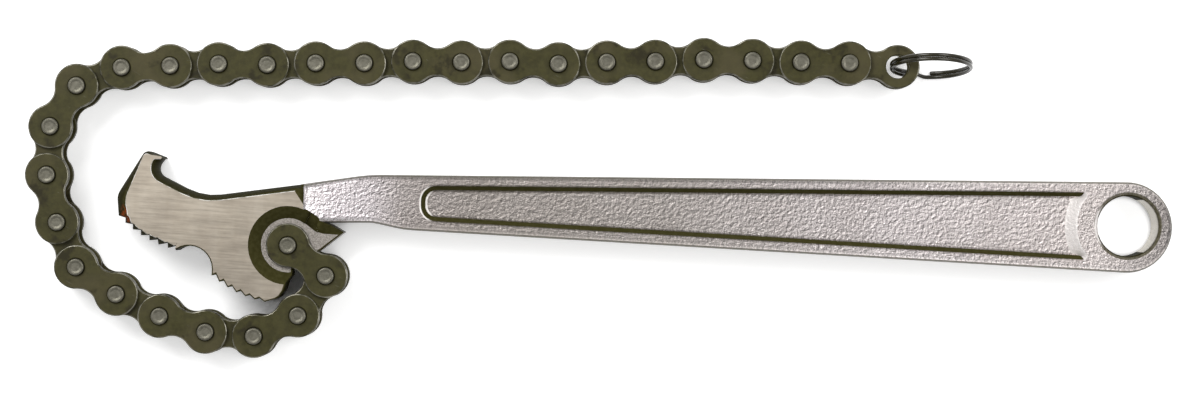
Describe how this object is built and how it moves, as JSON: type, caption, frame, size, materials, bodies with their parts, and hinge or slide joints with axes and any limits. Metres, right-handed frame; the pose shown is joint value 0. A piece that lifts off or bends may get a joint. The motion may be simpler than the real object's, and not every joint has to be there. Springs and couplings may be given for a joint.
{
  "type": "chain pipe wrench",
  "caption": "Chain pipe wrench: forged toothed jaw with hook and I-section handle, a pivoted link chain that wraps a pipe, and a split ring on its free end.",
  "frame": {"origin": "Centre of the hanging hole, on the mid-plane of the handle", "axes": "+X from the jaw to the hanging eye, +Y from the handle towards the free chain, +Z square to the flat of the handle, up when the tool lies flat"},
  "size_m": [0.3002, 0.0838, 0.0216],
  "materials": {
    "forging": "satin plated steel forging with ground jaw cheeks and dark bevels",
    "plate": "dark oily oxide on stamped link plates",
    "pin": "bright worn riveted pin ends",
    "ring": "dark glossy spring wire"
  },
  "bodies": {
    "handle": {"handle": "forging"},
    "outer_link_01": {"outer_plates_01": "plate", "pins_01": "pin"},
    "inner_link_01": {"inner_plates_01": "plate"},
    "outer_link_02": {"outer_plates_02": "plate", "pins_02": "pin"},
    "inner_link_02": {"inner_plates_02": "plate"},
    "outer_link_03": {"outer_plates_03": "plate", "pins_03": "pin"},
    "inner_link_03": {"inner_plates_03": "plate"},
    "outer_link_04": {"outer_plates_04": "plate", "pins_04": "pin"},
    "inner_link_04": {"inner_plates_04": "plate"},
    "outer_link_05": {"outer_plates_05": "plate", "pins_05": "pin"},
    "inner_link_05": {"inner_plates_05": "plate"},
    "outer_link_06": {"outer_plates_06": "plate", "pins_06": "pin"},
    "inner_link_06": {"inner_plates_06": "plate"},
    "outer_link_07": {"outer_plates_07": "plate", "pins_07": "pin"},
    "inner_link_07": {"inner_plates_07": "plate"},
    "outer_link_08": {"outer_plates_08": "plate", "pins_08": "pin"},
    "inner_link_08": {"inner_plates_08": "plate"},
    "outer_link_09": {"outer_plates_09": "plate", "pins_09": "pin"},
    "inner_link_09": {"inner_plates_09": "plate"},
    "outer_link_10": {"outer_plates_10": "plate", "pins_10": "pin"},
    "inner_link_10": {"inner_plates_10": "plate"},
    "outer_link_11": {"outer_plates_11": "plate", "pins_11": "pin"},
    "inner_link_11": {"inner_plates_11": "plate"},
    "outer_link_12": {"outer_plates_12": "plate", "pins_12": "pin"},
    "inner_link_12": {"inner_plates_12": "plate"},
    "outer_link_13": {"outer_plates_13": "plate", "pins_13": "pin"},
    "inner_link_13": {"inner_plates_13": "plate"},
    "outer_link_14": {"outer_plates_14": "plate", "pins_14": "pin"},
    "inner_link_14": {"inner_plates_14": "plate"},
    "ring": {"split_ring": "ring"}
  },
  "joints": [
    {"name": "pin_01", "type": "hinge", "parent": "handle", "child": "outer_link_01", "pos_m": [-0.2195, -0.005, 0], "axis": [0, 0, 1], "range_deg": [-4, 6]},
    {"name": "pin_02", "type": "hinge", "parent": "outer_link_01", "child": "inner_link_01", "pos_m": [-0.20963, -0.01299, 0], "axis": [0, 0, -1], "range_deg": [-20, 3]},
    {"name": "pin_03", "type": "hinge", "parent": "inner_link_01", "child": "outer_link_02", "pos_m": [-0.21691, -0.0234, 0], "axis": [0, 0, 1], "range_deg": [-5, 45]},
    {"name": "pin_04", "type": "hinge", "parent": "outer_link_02", "child": "inner_link_02", "pos_m": [-0.22842, -0.02876, 0], "axis": [0, 0, -1], "range_deg": [-45, 5]},
    {"name": "pin_05", "type": "hinge", "parent": "inner_link_02", "child": "outer_link_03", "pos_m": [-0.24108, -0.02766, 0], "axis": [0, 0, 1], "range_deg": [-5, 45]},
    {"name": "pin_06", "type": "hinge", "parent": "outer_link_03", "child": "inner_link_03", "pos_m": [-0.25308, -0.02352, 0], "axis": [0, 0, -1], "range_deg": [-45, 4]},
    {"name": "pin_07", "type": "hinge", "parent": "inner_link_03", "child": "outer_link_04", "pos_m": [-0.2644, -0.01776, 0], "axis": [0, 0, 1], "range_deg": [-4, 45]},
    {"name": "pin_08", "type": "hinge", "parent": "outer_link_04", "child": "inner_link_04", "pos_m": [-0.27493, -0.01065, 0], "axis": [0, 0, -1], "range_deg": [-45, 4]},
    {"name": "pin_09", "type": "hinge", "parent": "inner_link_04", "child": "outer_link_05", "pos_m": [-0.27989, 0.00104, 0], "axis": [0, 0, 1], "range_deg": [-4, 45]},
    {"name": "pin_10", "type": "hinge", "parent": "outer_link_05", "child": "inner_link_05", "pos_m": [-0.28253, 0.01346, 0], "axis": [0, 0, -1], "range_deg": [-45, 4]},
    {"name": "pin_11", "type": "hinge", "parent": "inner_link_05", "child": "outer_link_06", "pos_m": [-0.28165, 0.02613, 0], "axis": [0, 0, 1], "range_deg": [-4, 45]},
    {"name": "pin_12", "type": "hinge", "parent": "outer_link_06", "child": "inner_link_06", "pos_m": [-0.27473, 0.03678, 0], "axis": [0, 0, -1], "range_deg": [-45, 4]},
    {"name": "pin_13", "type": "hinge", "parent": "inner_link_06", "child": "outer_link_07", "pos_m": [-0.26295, 0.04154, 0], "axis": [0, 0, 1], "range_deg": [-5, 45]},
    {"name": "pin_14", "type": "hinge", "parent": "outer_link_07", "child": "inner_link_07", "pos_m": [-0.25026, 0.04198, 0], "axis": [0, 0, -1], "range_deg": [-45, 5]},
    {"name": "pin_15", "type": "hinge", "parent": "inner_link_07", "child": "outer_link_08", "pos_m": [-0.23757, 0.04242, 0], "axis": [0, 0, 1], "range_deg": [-5, 45]},
    {"name": "pin_16", "type": "hinge", "parent": "outer_link_08", "child": "inner_link_08", "pos_m": [-0.22487, 0.0422, 0], "axis": [0, 0, -1], "range_deg": [-45, 6]},
    {"name": "pin_17", "type": "hinge", "parent": "inner_link_08", "child": "outer_link_09", "pos_m": [-0.21218, 0.04264, 0], "axis": [0, 0, 1], "range_deg": [-6, 45]},
    {"name": "pin_18", "type": "hinge", "parent": "outer_link_09", "child": "inner_link_09", "pos_m": [-0.19948, 0.04264, 0], "axis": [0, 0, -1], "range_deg": [-45, 6]},
    {"name": "pin_19", "type": "hinge", "parent": "inner_link_09", "child": "outer_link_10", "pos_m": [-0.18679, 0.04309, 0], "axis": [0, 0, 1], "range_deg": [-8, 45]},
    {"name": "pin_20", "type": "hinge", "parent": "outer_link_10", "child": "inner_link_10", "pos_m": [-0.17409, 0.04287, 0], "axis": [0, 0, -1], "range_deg": [-45, 9]},
    {"name": "pin_21", "type": "hinge", "parent": "inner_link_10", "child": "outer_link_11", "pos_m": [-0.16139, 0.04309, 0], "axis": [0, 0, 1], "range_deg": [-10, 45]},
    {"name": "pin_22", "type": "hinge", "parent": "outer_link_11", "child": "inner_link_11", "pos_m": [-0.14871, 0.04242, 0], "axis": [0, 0, -1], "range_deg": [-45, 12]},
    {"name": "pin_23", "type": "hinge", "parent": "inner_link_11", "child": "outer_link_12", "pos_m": [-0.13602, 0.04287, 0], "axis": [0, 0, 1], "range_deg": [-13, 45]},
    {"name": "pin_24", "type": "hinge", "parent": "outer_link_12", "child": "inner_link_12", "pos_m": [-0.12332, 0.04309, 0], "axis": [0, 0, -1], "range_deg": [-45, 15]},
    {"name": "pin_25", "type": "hinge", "parent": "inner_link_12", "child": "outer_link_13", "pos_m": [-0.11063, 0.04353, 0], "axis": [0, 0, 1], "range_deg": [-18, 45]},
    {"name": "pin_26", "type": "hinge", "parent": "outer_link_13", "child": "inner_link_13", "pos_m": [-0.09793, 0.04331, 0], "axis": [0, 0, -1], "range_deg": [-45, 24]},
    {"name": "pin_27", "type": "hinge", "parent": "inner_link_13", "child": "outer_link_14", "pos_m": [-0.08524, 0.04287, 0], "axis": [0, 0, 1], "range_deg": [-30, 45]},
    {"name": "pin_28", "type": "hinge", "parent": "outer_link_14", "child": "inner_link_14", "pos_m": [-0.07254, 0.04264, 0], "axis": [0, 0, -1], "range_deg": [-45, 40]},
    {"name": "ring_swing", "type": "hinge", "parent": "inner_link_14", "child": "ring", "pos_m": [-0.05987, 0.04176, 0], "axis": [0, 0, 1], "range_deg": [-60, 60]}
  ]
}
